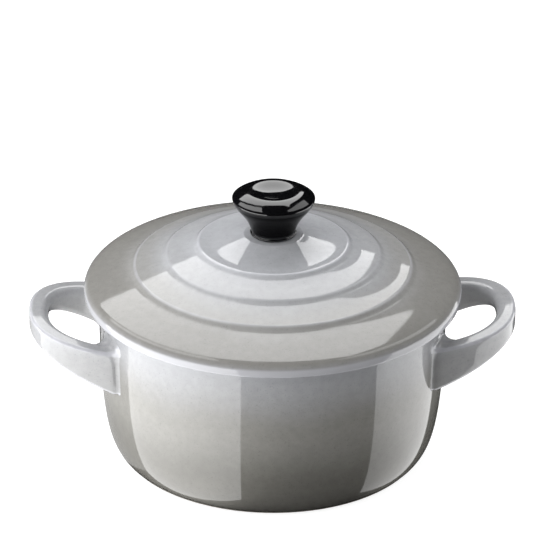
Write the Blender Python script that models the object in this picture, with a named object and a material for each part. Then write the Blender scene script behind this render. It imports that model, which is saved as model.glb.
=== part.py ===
"""A mini casserole dish: a round stoneware pot with two loop handles, a stepped lid and a knob screwed to it.

Metres, +Z up. The origin lies on the table, on the axis of the pot, and the handles point along X.
"""

import math

import bmesh
import bpy
from mathutils import Vector
from mathutils.geometry import interpolate_bezier

# Clearances
SEAT_GAP = 0.0003  # between pieces that rest on each other or are stuck together
LID_PLAY = 0.0008  # on the radius, between the flange of the lid and the mouth of the pot
SCREW_PLAY = 0.0005  # on the radius, round the screw in the lid and in the washer

# Pot
POT_RADIUS = 0.0498  # outside, at the rim
POT_HEIGHT = 0.0480  # from the table to the rim
POT_WALL = 0.0048  # at the rim
POT_FLOOR = 0.0055  # thickness
RIM_ROUND = 0.0009  # radius of both edges of the rim
BELLY_DROP = 0.0338  # below the rim the wall falls almost straight for this much
FOOT_RADIUS = 0.0438
FOOT_SPREAD = 0.0041  # outward pull of the wall where it leaves the foot
FOOT_LIFT = 0.0034  # upward pull of the wall there
FOOT_RING = 0.0055  # width of the ring that the pot stands on
FOOT_RECESS = 0.0010  # depth of the hollow inside that ring
FLOOR_CORNER = 0.0125  # width of the round corner between floor and wall, inside

# Handles
HANDLE_REACH = 0.0200  # from the wall at the rim to the tip
HANDLE_HALF_WIDTH = 0.0220  # outside, across the two legs
HANDLE_BEND_INSET = 0.0044  # the legs start to bend this far inside the radius of the rim
HANDLE_ROUNDNESS = 2.34  # exponent of the loop's plan: 2 is an ellipse, more is squarer
HANDLE_BURIED = 0.0040  # how far the legs run on past the wall before they are trimmed to it
HANDLE_THICK_ROOT = 0.0061
HANDLE_THICK_TIP = 0.0055
HANDLE_TALL_ROOT = 0.0132
HANDLE_TALL_TIP = 0.0055
HANDLE_DROP_ROOT = 0.0081  # top of the strap, below the rim
HANDLE_DROP_TIP = 0.0039
HANDLE_EDGE_ROUND = 0.0013
HANDLE_FLARE = 0.0013  # swelling of the legs where they join the wall
HANDLE_FLARE_LENGTH = 0.0045

# Lid, from the edge inwards
LID_OVERHANG = 0.0042  # beyond the pot
LID_EDGE_ROUND = 0.0018  # radius of the rolled edge
LID_ROLL_START = 60  # degrees above the level, where the brim runs into the rolled edge
BRIM_WIDTH = 0.0127  # from the edge to the first step
BRIM_RISE = 0.0038
TIER_1_WIDTH = 0.0079  # between the first and the second step
TIER_1_RISE = 0.0024
TIER_2_WIDTH = 0.0079  # between the second and the third step
TIER_2_RISE = 0.0021
CROWN_RISE = 0.0024  # from the third step to the seat of the knob
CROWN_DISH = 0.0007  # how far the crown is hollowed below a straight cone
STEP_WIDTH = 0.0012
STEP_RISE = 0.0013
LID_WALL = 0.0042
FLANGE_DEPTH = 0.0040
FLANGE_WIDTH = 0.0035
BOSS_THICKNESS = 0.0065  # of the lid under the knob

# Knob
KNOB_RADIUS = 0.0117
KNOB_SHOULDER = 0.0107  # height of the widest place
KNOB_CREST_RADIUS = 0.0072  # of the highest ring, round the dished top
KNOB_CREST_RISE = 0.0026  # from the widest place up to that ring
KNOB_DISH = 0.0011  # depth of the dished top
KNOB_FLARE_PULL = 0.0029  # how far the flare starts and ends upright
KNOB_NECK_RADIUS = 0.0061
KNOB_LIP = 0.0004  # how far the foot stands out beyond the neck
KNOB_LIP_HEIGHT = 0.0009
KNOB_SEAT_MARGIN = 0.0020  # flat of the lid round the foot of the knob

# Insert, screw and washer
SCREW_RADIUS = 0.0020
SCREW_BITE = 0.0065  # length of the screw inside the insert
SCREW_HEAD_RADIUS = 0.0040
SCREW_HEAD_HEIGHT = 0.0026
SCREW_HEAD_ROUND = 0.0013
SCREW_TIP_CHAMFER = 0.0005
SCREW_SLOT_WIDTH = 0.0011
SCREW_SLOT_DEPTH = 0.0012
INSERT_WALL = 0.0011
INSERT_LENGTH = 0.0086
INSERT_GROOVE = 0.0004  # depth of the groove that holds the insert in the knob
INSERT_CHAMFER = 0.0003
WASHER_RADIUS = 0.0060
WASHER_THICKNESS = 0.0010
WASHER_MARGIN = 0.0025  # flat of the lid round the washer

# Fineness of the round shapes
LARGE_SEGMENTS = 48
SMALL_SEGMENTS = 32
WALL_STEPS = 11
RIM_STEPS = 3
ROLL_STEPS = 5
CREASE_STEPS = 4
KNOB_STEPS = 8
STRAP_EDGE_STEPS = 2
HANDLE_STATIONS = 42
PATH_FINENESS = 240
SMOOTH_ANGLE = math.radians(35)
WELD = 0.000001
QUARTER_PULL = 0.55  # share of a radius that pulls a Bezier curve into a quarter of an ellipse

# Places that follow from the sizes
MOUTH_RADIUS = POT_RADIUS - POT_WALL
FLOOR_TOP = FOOT_RECESS + POT_FLOOR
LID_SEAT = POT_HEIGHT + SEAT_GAP
LID_RADIUS = POT_RADIUS + LID_OVERHANG
FLANGE_RADIUS = MOUTH_RADIUS - LID_PLAY
HOLE_RADIUS = SCREW_RADIUS + SCREW_PLAY
KNOB_FOOT_RADIUS = KNOB_NECK_RADIUS + KNOB_LIP
INSERT_BORE = SCREW_RADIUS + SEAT_GAP
INSERT_RADIUS = INSERT_BORE + INSERT_WALL
KNOB_BORE = INSERT_RADIUS + SEAT_GAP
KNOB_BORE_DEPTH = SEAT_GAP + INSERT_LENGTH + SEAT_GAP
STEP_TOTAL = 3 * STEP_RISE
CROWN_TOP = 2 * LID_EDGE_ROUND + BRIM_RISE + TIER_1_RISE + TIER_2_RISE + STEP_TOTAL + CROWN_RISE
BOSS_UNDERSIDE = CROWN_TOP - BOSS_THICKNESS
KNOB_SEAT = CROWN_TOP + SEAT_GAP
WASHER_TOP = BOSS_UNDERSIDE - SEAT_GAP
SCREW_HEAD_TOP = WASHER_TOP - WASHER_THICKNESS - SEAT_GAP
SCREW_TIP = KNOB_SEAT + SCREW_BITE


def clear_scene():
    """Remove everything that the scene holds at the start."""
    for thing in list(bpy.data.objects):
        bpy.data.objects.remove(thing, do_unlink=True)


def make_material(name, colour, roughness, metallic=0.0):
    """A Principled material."""
    material = bpy.data.materials.new(name)
    material.use_nodes = True
    shader = material.node_tree.nodes["Principled BSDF"]
    shader.inputs["Base Color"].default_value = (*colour, 1.0)
    shader.inputs["Roughness"].default_value = roughness
    shader.inputs["Metallic"].default_value = metallic
    return material


def arc(centre, radius, start, end, steps):
    """Points (r, z) on an arc round centre, from one angle in degrees to another."""
    points = []
    for step in range(steps + 1):
        angle = math.radians(start + (end - start) * step / steps)
        points.append((centre[0] + radius * math.cos(angle), centre[1] + radius * math.sin(angle)))
    return points


def sweep(start, start_pull, end_pull, end, steps):
    """Points (r, z) on a Bezier curve with its two pulls, both ends included."""
    corners = [Vector((r, z, 0.0)) for r, z in (start, start_pull, end_pull, end)]
    return [(point.x, point.y) for point in interpolate_bezier(*corners, steps + 1)]


def add_object(name, bm, material, location=(0.0, 0.0, 0.0), parent=None):
    """Turn a bmesh into a smooth-shaded object of the scene."""
    mesh = bpy.data.meshes.new(name)
    bm.to_mesh(mesh)
    bm.free()
    mesh.shade_smooth()
    mesh.set_sharp_from_angle(angle=SMOOTH_ANGLE)
    if material:
        mesh.materials.append(material)
    piece = bpy.data.objects.new(name, mesh)
    bpy.context.collection.objects.link(piece)
    piece.location = location
    piece.parent = parent
    return piece


def turned(profile, closed, segments):
    """Spin a profile of (r, z) points round Z: an open one starts and ends on the axis."""
    bm = bmesh.new()
    corners = [bm.verts.new((r, 0.0, z)) for r, z in profile]
    edges = [bm.edges.new(pair) for pair in zip(corners, corners[1:])]
    if closed:
        edges.append(bm.edges.new((corners[-1], corners[0])))
    bmesh.ops.spin(
        bm,
        geom=corners + edges,
        cent=(0.0, 0.0, 0.0),
        axis=(0.0, 0.0, 1.0),
        angle=math.tau,
        steps=segments,
        use_merge=True,
    )
    bmesh.ops.remove_doubles(bm, verts=bm.verts, dist=WELD)
    bmesh.ops.recalc_face_normals(bm, faces=bm.faces)
    return bm


def outer_wall():
    """Points down the outside of the pot, from just under the rim to the edge of the foot."""
    return sweep(
        (POT_RADIUS, POT_HEIGHT - RIM_ROUND),
        (POT_RADIUS, POT_HEIGHT - BELLY_DROP),
        (FOOT_RADIUS + FOOT_SPREAD, FOOT_LIFT),
        (FOOT_RADIUS, 0.0),
        WALL_STEPS,
    )


def build_pot(material):
    """The pot: rounded floor, drafted wall, flat rim, and a foot ring with a shallow hollow inside it."""
    rim_level = POT_HEIGHT - RIM_ROUND
    inside = sweep(
        (FOOT_RADIUS - FLOOR_CORNER, FLOOR_TOP),
        (FOOT_RADIUS + FOOT_SPREAD - POT_WALL, FLOOR_TOP),
        (MOUTH_RADIUS, POT_HEIGHT - BELLY_DROP),
        (MOUTH_RADIUS, rim_level),
        WALL_STEPS,
    )
    rim_inside = arc((MOUTH_RADIUS + RIM_ROUND, rim_level), RIM_ROUND, 180, 90, RIM_STEPS)
    rim_outside = arc((POT_RADIUS - RIM_ROUND, rim_level), RIM_ROUND, 90, 0, RIM_STEPS)
    ring_inside = FOOT_RADIUS - FOOT_RING
    underside = [(ring_inside, 0.0), (ring_inside - FOOT_RECESS, FOOT_RECESS), (0.0, FOOT_RECESS)]
    profile = [(0.0, FLOOR_TOP)] + inside + rim_inside[1:] + rim_outside + outer_wall()[1:] + underside
    return add_object("pot_body", turned(profile, False, LARGE_SEGMENTS), material)


def build_wall_cutter(parent):
    """The outside of the pot grown by the seat gap: it trims the handles to the wall."""
    wall = [(r + SEAT_GAP, z) for r, z in outer_wall()]
    profile = [(0.0, wall[0][1])] + wall + [(0.0, wall[-1][1])]
    cutter = add_object("wall_cutter", turned(profile, False, LARGE_SEGMENTS), None, parent=parent)
    cutter.hide_render = True
    cutter.display_type = "WIRE"
    return cutter


def signed_power(value, exponent):
    """A power that keeps the sign of its base."""
    return math.copysign(abs(value) ** exponent, value)


def handle_path():
    """Evenly spaced points of the loop's outer edge in plan, from one root inside the wall to the other."""
    bend = POT_RADIUS - HANDLE_BEND_INSET
    reach = POT_RADIUS + HANDLE_REACH
    root = math.sqrt(POT_RADIUS**2 - HANDLE_HALF_WIDTH**2) - HANDLE_BURIED
    power = 2.0 / HANDLE_ROUNDNESS
    points = [Vector((root, -HANDLE_HALF_WIDTH))]
    for step in range(PATH_FINENESS + 1):
        angle = math.pi * (step / PATH_FINENESS - 0.5)
        across = HANDLE_HALF_WIDTH * signed_power(math.sin(angle), power)
        points.append(Vector((bend + (reach - bend) * abs(math.cos(angle)) ** power, across)))
    points.append(Vector((root, HANDLE_HALF_WIDTH)))
    runs = [0.0]
    for here, following in zip(points, points[1:]):
        runs.append(runs[-1] + (following - here).length)
    stations = []
    leg = 0
    for station in range(HANDLE_STATIONS + 1):
        run = runs[-1] * station / HANDLE_STATIONS
        while leg < len(points) - 2 and runs[leg + 1] < run:
            leg += 1
        share = (run - runs[leg]) / (runs[leg + 1] - runs[leg])
        stations.append(points[leg].lerp(points[leg + 1], share))
    return stations


def strap_section(thickness, bottom, top, flare):
    """Rounded rectangle as (inset, z) points: inset is measured inwards from the loop's outer edge."""
    edge = HANDLE_EDGE_ROUND
    low, high = bottom - flare, top + flare
    outer, inner = -flare, thickness + flare
    return (
        arc((outer + edge, high - edge), edge, 180, 90, STRAP_EDGE_STEPS)
        + arc((inner - edge, high - edge), edge, 90, 0, STRAP_EDGE_STEPS)
        + arc((inner - edge, low + edge), edge, 0, -90, STRAP_EDGE_STEPS)
        + arc((outer + edge, low + edge), edge, -90, -180, STRAP_EDGE_STEPS)
    )


def between(root, tip, share):
    """A size part of the way from the root of a handle to its tip."""
    return root + (tip - root) * share


def handle_loop():
    """The strap of one handle, pointing along +X, with legs that run into the wall."""
    path = handle_path()
    bend = POT_RADIUS - HANDLE_BEND_INSET
    bm = bmesh.new()
    rings = []
    for index, point in enumerate(path):
        before = path[max(index - 1, 0)]
        after = path[min(index + 1, len(path) - 1)]
        along = (after - before).normalized()
        inwards = Vector((-along.y, along.x))
        share = min(max((point.x - bend) / (HANDLE_BEND_INSET + HANDLE_REACH), 0.0), 1.0)
        clear = min(max((point.length - POT_RADIUS) / HANDLE_FLARE_LENGTH, 0.0), 1.0)
        top = POT_HEIGHT - between(HANDLE_DROP_ROOT, HANDLE_DROP_TIP, share)
        bottom = top - between(HANDLE_TALL_ROOT, HANDLE_TALL_TIP, share)
        thickness = between(HANDLE_THICK_ROOT, HANDLE_THICK_TIP, share)
        section = strap_section(thickness, bottom, top, HANDLE_FLARE * (1.0 - clear) ** 2)
        corners = [bm.verts.new((*(point + inwards * inset), z)) for inset, z in section]
        rings.append([bm.edges.new(pair) for pair in zip(corners, corners[1:] + corners[:1])])
    for ring, following in zip(rings, rings[1:]):
        bmesh.ops.bridge_loops(bm, edges=ring + following)
    for ring in (rings[0], rings[-1]):
        bmesh.ops.edgeloop_fill(bm, edges=ring)
    bmesh.ops.recalc_face_normals(bm, faces=bm.faces)
    return bm


def build_handle(name, turn, pot, cutter, material):
    """One handle, turned to its side of the pot and trimmed to the wall."""
    handle = add_object(name, handle_loop(), material, parent=pot)
    handle.rotation_euler.z = turn
    trim = handle.modifiers.new("trim_to_wall", "BOOLEAN")
    trim.operation = "DIFFERENCE"
    trim.object = cutter
    return handle


def rounded_step(foot_radius, foot_level):
    """Points from the top of a step of the lid down to its foot, with both edges rounded."""
    top = (foot_radius - STEP_WIDTH, foot_level + STEP_RISE)
    middle = foot_radius - STEP_WIDTH / 2
    return sweep(top, (middle, top[1]), (middle, foot_level), (foot_radius, foot_level), CREASE_STEPS)


def build_lid(material, pot):
    """The lid: rolled edge, three rounded steps, a dished crown, and a flange round the hollow below."""
    step_1 = (LID_RADIUS - BRIM_WIDTH, 2 * LID_EDGE_ROUND + BRIM_RISE)
    step_2 = (step_1[0] - STEP_WIDTH - TIER_1_WIDTH, step_1[1] + STEP_RISE + TIER_1_RISE)
    step_3 = (step_2[0] - STEP_WIDTH - TIER_2_WIDTH, step_2[1] + STEP_RISE + TIER_2_RISE)
    steps = (step_3, step_2, step_1)
    seat_radius = KNOB_FOOT_RADIUS + KNOB_SEAT_MARGIN
    crown_edge = step_3[0] - STEP_WIDTH
    crown_foot = step_3[1] + STEP_RISE
    third = (crown_edge - seat_radius) / 3
    crown = sweep(
        (seat_radius, CROWN_TOP),
        (seat_radius + third, CROWN_TOP - CROWN_RISE / 3 - CROWN_DISH),
        (crown_edge - third, crown_foot + CROWN_RISE / 3 - CROWN_DISH),
        (crown_edge, crown_foot),
        CREASE_STEPS,
    )
    profile = [(HOLE_RADIUS, CROWN_TOP)] + crown[:-1]
    for step in steps:
        profile += rounded_step(*step)
    roll_centre = (LID_RADIUS - LID_EDGE_ROUND, LID_EDGE_ROUND)
    profile += arc(roll_centre, LID_EDGE_ROUND, LID_ROLL_START, -90, ROLL_STEPS)
    profile += [(FLANGE_RADIUS, 0.0), (FLANGE_RADIUS, -FLANGE_DEPTH)]
    profile.append((FLANGE_RADIUS - FLANGE_WIDTH, -FLANGE_DEPTH))
    hollow = [(radius - STEP_WIDTH, level - LID_WALL) for radius, level in steps]
    profile += reversed(hollow)
    profile += [(WASHER_RADIUS + WASHER_MARGIN, BOSS_UNDERSIDE), (HOLE_RADIUS, BOSS_UNDERSIDE)]
    return add_object("lid", turned(profile, True, LARGE_SEGMENTS), material, (0.0, 0.0, LID_SEAT), pot)


def build_knob(material, lid):
    """The knob: dished top, rounded rim, flared underside, slim neck, lipped foot and a bore for the insert."""
    neck = KNOB_NECK_RADIUS
    crest = KNOB_SHOULDER + KNOB_CREST_RISE
    rim_width = KNOB_RADIUS - KNOB_CREST_RADIUS
    half_way = KNOB_CREST_RADIUS / 2
    dish = sweep(
        (0.0, crest - KNOB_DISH),
        (half_way, crest - KNOB_DISH),
        (half_way, crest),
        (KNOB_CREST_RADIUS, crest),
        KNOB_STEPS,
    )
    rim = sweep(
        (KNOB_CREST_RADIUS, crest),
        (KNOB_CREST_RADIUS + rim_width * QUARTER_PULL, crest),
        (KNOB_RADIUS, KNOB_SHOULDER + KNOB_CREST_RISE * QUARTER_PULL),
        (KNOB_RADIUS, KNOB_SHOULDER),
        KNOB_STEPS,
    )
    flare = sweep(
        (KNOB_RADIUS, KNOB_SHOULDER),
        (KNOB_RADIUS, KNOB_SHOULDER - KNOB_FLARE_PULL),
        (neck, KNOB_LIP_HEIGHT + KNOB_FLARE_PULL),
        (neck, KNOB_LIP_HEIGHT),
        KNOB_STEPS,
    )
    foot = [(KNOB_FOOT_RADIUS, KNOB_LIP_HEIGHT / 2), (KNOB_FOOT_RADIUS, 0.0)]
    bore = [(KNOB_BORE, 0.0), (KNOB_BORE, KNOB_BORE_DEPTH), (0.0, KNOB_BORE_DEPTH)]
    solid = turned(dish + rim[1:] + flare[1:] + foot + bore, False, SMALL_SEGMENTS)
    return add_object("knob", solid, material, (0.0, 0.0, KNOB_SEAT), lid)


def build_insert(material, knob):
    """The threaded insert: a chamfered sleeve with a groove round its middle."""
    bottom, top = SEAT_GAP, SEAT_GAP + INSERT_LENGTH
    middle = (bottom + top) / 2
    waist = INSERT_RADIUS - INSERT_GROOVE
    profile = [
        (INSERT_BORE, top),
        (INSERT_RADIUS - INSERT_CHAMFER, top),
        (INSERT_RADIUS, top - INSERT_CHAMFER),
        (INSERT_RADIUS, middle + INSERT_GROOVE),
        (waist, middle),
        (INSERT_RADIUS, middle - INSERT_GROOVE),
        (INSERT_RADIUS, bottom + INSERT_CHAMFER),
        (INSERT_RADIUS - INSERT_CHAMFER, bottom),
        (INSERT_BORE, bottom),
    ]
    return add_object("knob_insert", turned(profile, True, SMALL_SEGMENTS), material, parent=knob)


def build_screw(material, lid):
    """The slotted pan-head screw that comes up through the lid."""
    head_bottom = SCREW_HEAD_TOP - SCREW_HEAD_HEIGHT
    profile = [(0.0, SCREW_TIP), (SCREW_RADIUS - SCREW_TIP_CHAMFER, SCREW_TIP)]
    profile += [(SCREW_RADIUS, SCREW_TIP - SCREW_TIP_CHAMFER), (SCREW_RADIUS, SCREW_HEAD_TOP)]
    profile.append((SCREW_HEAD_RADIUS, SCREW_HEAD_TOP))
    head_corner = (SCREW_HEAD_RADIUS - SCREW_HEAD_ROUND, head_bottom + SCREW_HEAD_ROUND)
    profile += arc(head_corner, SCREW_HEAD_ROUND, 0, -90, CREASE_STEPS)
    profile.append((0.0, head_bottom))
    screw = add_object("knob_screw", turned(profile, False, SMALL_SEGMENTS), material, parent=lid)
    bm = bmesh.new()
    bmesh.ops.create_cube(bm, size=1.0)
    slot_length = 3 * SCREW_HEAD_RADIUS
    bmesh.ops.scale(bm, vec=(slot_length, SCREW_SLOT_WIDTH, 2 * SCREW_SLOT_DEPTH), verts=bm.verts)
    slot = add_object("slot_cutter", bm, None, (0.0, 0.0, head_bottom), lid)
    slot.hide_render = True
    slot.display_type = "WIRE"
    cut = screw.modifiers.new("slot", "BOOLEAN")
    cut.operation = "DIFFERENCE"
    cut.object = slot
    return screw


def build_washer(material, lid):
    """The flat washer between the screw head and the lid."""
    bottom = WASHER_TOP - WASHER_THICKNESS
    profile = [
        (HOLE_RADIUS, WASHER_TOP),
        (WASHER_RADIUS, WASHER_TOP),
        (WASHER_RADIUS, bottom),
        (HOLE_RADIUS, bottom),
    ]
    return add_object("knob_washer", turned(profile, True, SMALL_SEGMENTS), material, parent=lid)


def main():
    """Build the dish."""
    clear_scene()
    pot = build_pot(make_material("pot_glaze", (0.21, 0.21, 0.20), 0.18))
    cutter = build_wall_cutter(pot)
    handle_glaze = make_material("handle_glaze", (0.24, 0.24, 0.23), 0.18)
    build_handle("right_handle", 0.0, pot, cutter, handle_glaze)
    build_handle("left_handle", math.pi, pot, cutter, handle_glaze)
    lid = build_lid(make_material("lid_glaze", (0.36, 0.37, 0.38), 0.15), pot)
    knob = build_knob(make_material("black_phenolic", (0.006, 0.006, 0.007), 0.12), lid)
    build_insert(make_material("insert_brass", (0.70, 0.52, 0.22), 0.30, 1.0), knob)
    build_screw(make_material("screw_steel", (0.62, 0.62, 0.60), 0.28, 1.0), lid)
    build_washer(make_material("washer_silicone", (0.03, 0.03, 0.03), 0.60), lid)


main()
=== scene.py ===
"""The looks of a mini casserole dish: a glazed pot with loop handles, a stepped lid and a black knob.

Metres, +Z up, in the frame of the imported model: the origin lies on the table, on the axis of the pot, and the
handles point along X.
"""

from __future__ import annotations

import logging
import math
from collections.abc import Callable
from dataclasses import dataclass
from enum import Enum
from functools import cached_property
from itertools import pairwise

import bpy
import numpy as np
from mathutils import Matrix, Vector
from mathutils.bvhtree import BVHTree
from mathutils.geometry import interpolate_bezier


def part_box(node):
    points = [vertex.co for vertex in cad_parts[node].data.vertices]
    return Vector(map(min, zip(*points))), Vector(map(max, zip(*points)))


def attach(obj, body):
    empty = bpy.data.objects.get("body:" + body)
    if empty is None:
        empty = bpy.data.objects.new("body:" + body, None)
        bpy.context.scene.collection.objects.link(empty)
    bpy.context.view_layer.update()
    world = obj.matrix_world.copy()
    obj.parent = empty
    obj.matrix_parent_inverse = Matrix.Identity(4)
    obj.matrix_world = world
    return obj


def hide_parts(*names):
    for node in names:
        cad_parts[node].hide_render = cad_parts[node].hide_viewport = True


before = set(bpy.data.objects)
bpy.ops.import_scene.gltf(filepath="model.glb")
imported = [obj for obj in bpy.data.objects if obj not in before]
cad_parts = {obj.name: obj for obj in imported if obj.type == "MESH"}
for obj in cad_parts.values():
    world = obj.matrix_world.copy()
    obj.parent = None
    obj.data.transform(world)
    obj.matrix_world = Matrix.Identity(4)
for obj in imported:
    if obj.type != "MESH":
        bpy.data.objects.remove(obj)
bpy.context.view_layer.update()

LOG = logging.getLogger("casserole")

Point = tuple[float, float]
Range = tuple[float, float]
Triple = tuple[float, float, float]
Colour = Triple
Stop = tuple[float, Colour]
Item = bpy.types.Object
Socket = bpy.types.NodeSocket
Source = Socket | float | Colour

WELD = 0.000001
SEED = 0.001
SMOOTH_ANGLE = math.radians(50)
SHARE: Range = (0.0, 1.0)
WHITE: Colour = (1.0, 1.0, 1.0)
THIN_GLAZE = "thin_glaze"
CARD_LIGHT = "card_light"


class Body(Enum):
    """The bodies of the frame that pieces ride on."""

    POT = "pot"
    LID = "lid"


class Seen(Enum):
    """What sees a card of the studio: the reflections on the dish, or its matt surfaces, which it lights."""

    MIRRORED = "in reflections"
    LIGHTING = "as light"


class Run(Enum):
    """The way in which a glaze shades over a piece."""

    UP = "by height"
    OUT = "by distance from the axis"


class Outline:
    """Half of a turned piece, drawn as points (radius, height) from one end to the other."""

    def __init__(self, start: Point) -> None:
        """Start the outline at a point."""
        self.points: list[Point] = [start]

    def line(self, *ends: Point) -> Outline:
        """Go on in straight lines to the given points."""
        self.points += ends
        return self

    def curve(self, first_pull: Point, last_pull: Point, end: Point, steps: int) -> Outline:
        """Go on along a Bezier curve.

        Args:
            first_pull: Point that the curve leaves towards.
            last_pull: Point that the curve arrives from.
            end: Where the curve ends.
            steps: How many straight steps it is cut into.

        Returns:
            The outline itself.
        """
        corners = [Vector((*point, 0.0)) for point in (self.points[-1], first_pull, last_pull, end)]
        self.points += [(place.x, place.y) for place in interpolate_bezier(*corners, steps + 1)[1:]]
        return self

    def fall(self, leave: Point, arrive: Point, end: Point, steps: int) -> Outline:
        """Go on along a curve that falls outwards.

        Args:
            leave: Pull of its start, as a run outwards, and the slope there.
            arrive: Pull of its end and the slope there.
            end: Where the curve ends.
            steps: How many straight steps it is cut into.

        Returns:
            The outline itself.
        """
        start = self.points[-1]
        first_pull = (start[0] + leave[0], start[1] - leave[0] * leave[1])
        return self.curve(first_pull, (end[0] - arrive[0], end[1] + arrive[0] * arrive[1]), end, steps)

    def corner(self, tip: Point, end: Point, steps: int) -> Outline:
        """Go on round a corner, towards its tip and then away from it."""
        return self.curve(tip, tip, end, steps)

    def arc(self, centre: Point, radius: float, start: float, end: float, steps: int) -> Outline:
        """Go on to an arc and along it.

        Args:
            centre: Centre of the arc.
            radius: Its radius.
            start: Angle above the level where it starts, in degrees.
            end: Angle where it ends.
            steps: How many straight steps it is cut into.

        Returns:
            The outline itself.
        """
        for step in range(steps + 1):
            angle = math.radians(start + (end - start) * step / steps)
            self.points.append((centre[0] + radius * math.cos(angle), centre[1] + radius * math.sin(angle)))
        return self


def turn(name: str, outline: Outline, segments: int) -> Item:
    """Turn an outline round Z, as on a potter's wheel.

    Args:
        name: Name of the piece.
        outline: Half of its section. An open one starts and ends on the axis.
        segments: Number of segments of the full turn.

    Returns:
        The turned piece, smooth and with its faces outwards.
    """
    bpy.ops.object.select_all(action="DESELECT")
    bpy.ops.mesh.primitive_plane_add(size=SEED)
    piece = bpy.context.object
    piece.name = name
    bpy.ops.object.mode_set(mode="EDIT")
    bpy.ops.mesh.merge(type="CENTER")
    radius, height = outline.points[0]
    bpy.ops.transform.translate(value=(radius, 0.0, height))
    for here, there in pairwise(outline.points):
        step = (there[0] - here[0], 0.0, there[1] - here[1])
        bpy.ops.mesh.extrude_vertices_move(TRANSFORM_OT_translate={"value": step})
    bpy.ops.mesh.select_all(action="SELECT")
    bpy.ops.mesh.spin(steps=segments, angle=math.tau, center=(0.0, 0.0, 0.0), axis=(0.0, 0.0, 1.0))
    close_up()
    return piece


def close_up() -> None:
    """Merge the doubles of the mesh in edit mode, point its faces outwards, leave edit mode and smooth it."""
    bpy.ops.mesh.select_all(action="SELECT")
    bpy.ops.mesh.remove_doubles(threshold=WELD)
    bpy.ops.mesh.normals_make_consistent(inside=False)
    bpy.ops.object.mode_set(mode="OBJECT")
    bpy.ops.object.shade_smooth_by_angle(angle=SMOOTH_ANGLE)


def rows(items: bpy.types.bpy_prop_collection, name: str, width: int, kind: type = float) -> np.ndarray:
    """Read a property of all points or edges of a mesh.

    Args:
        items: The points or edges.
        name: Name of the property.
        width: How many numbers it has.
        kind: Type of the numbers.

    Returns:
        A row of numbers for each point or edge.
    """
    values = np.empty(len(items) * width, dtype=kind)
    items.foreach_get(name, values)
    return values.reshape(-1, width)


def mark_thin_glaze(piece: Item, glaze: GlazeFinish) -> None:
    """Mark how thin the glaze runs over the rounded edges of a piece, as an attribute of its points.

    Args:
        piece: The piece to mark.
        glaze: Its glaze, which runs thin on sharp bends.
    """
    mesh = piece.data
    places = rows(mesh.vertices, "co", 3)
    normals = rows(mesh.vertices, "normal", 3)
    ends = rows(mesh.edges, "vertices", 2, int).T
    bends = np.zeros(len(places))
    for here, there in (ends, ends[::-1]):
        span = places[there] - places[here]
        bend = -2.0 * (normals[here] * span).sum(axis=1) / (span * span).sum(axis=1)
        np.maximum.at(bends, here, bend)
    thin = np.clip((bends - glaze.dull_bend) / (glaze.sharp_bend - glaze.dull_bend), *SHARE)
    mesh.attributes.new(THIN_GLAZE, "FLOAT", "POINT").data.foreach_set("value", thin.astype(np.float32))


def hand_over(piece: Item, body: Body, slot: str, *nodes: str) -> None:
    """Put a finished piece on its body, in the place of the nodes that it stands for.

    Args:
        piece: The finished piece.
        body: Body that it moves with.
        slot: Slot of the record that its finish belongs to; not used.
        nodes: Nodes that it replaces.
    """
    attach(piece, body.value)
    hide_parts(*nodes)
    LOG.info("%s: %d faces, on %s", piece.name, len(piece.data.polygons), body.value)


@dataclass(frozen=True)
class Grain:
    """How a value varies over a piece: scale of its noise, values that this gives, detail, and range used."""

    scale: float
    values: Range
    detail: float = 2.0
    noise: Range = (0.3, 0.7)


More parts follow.
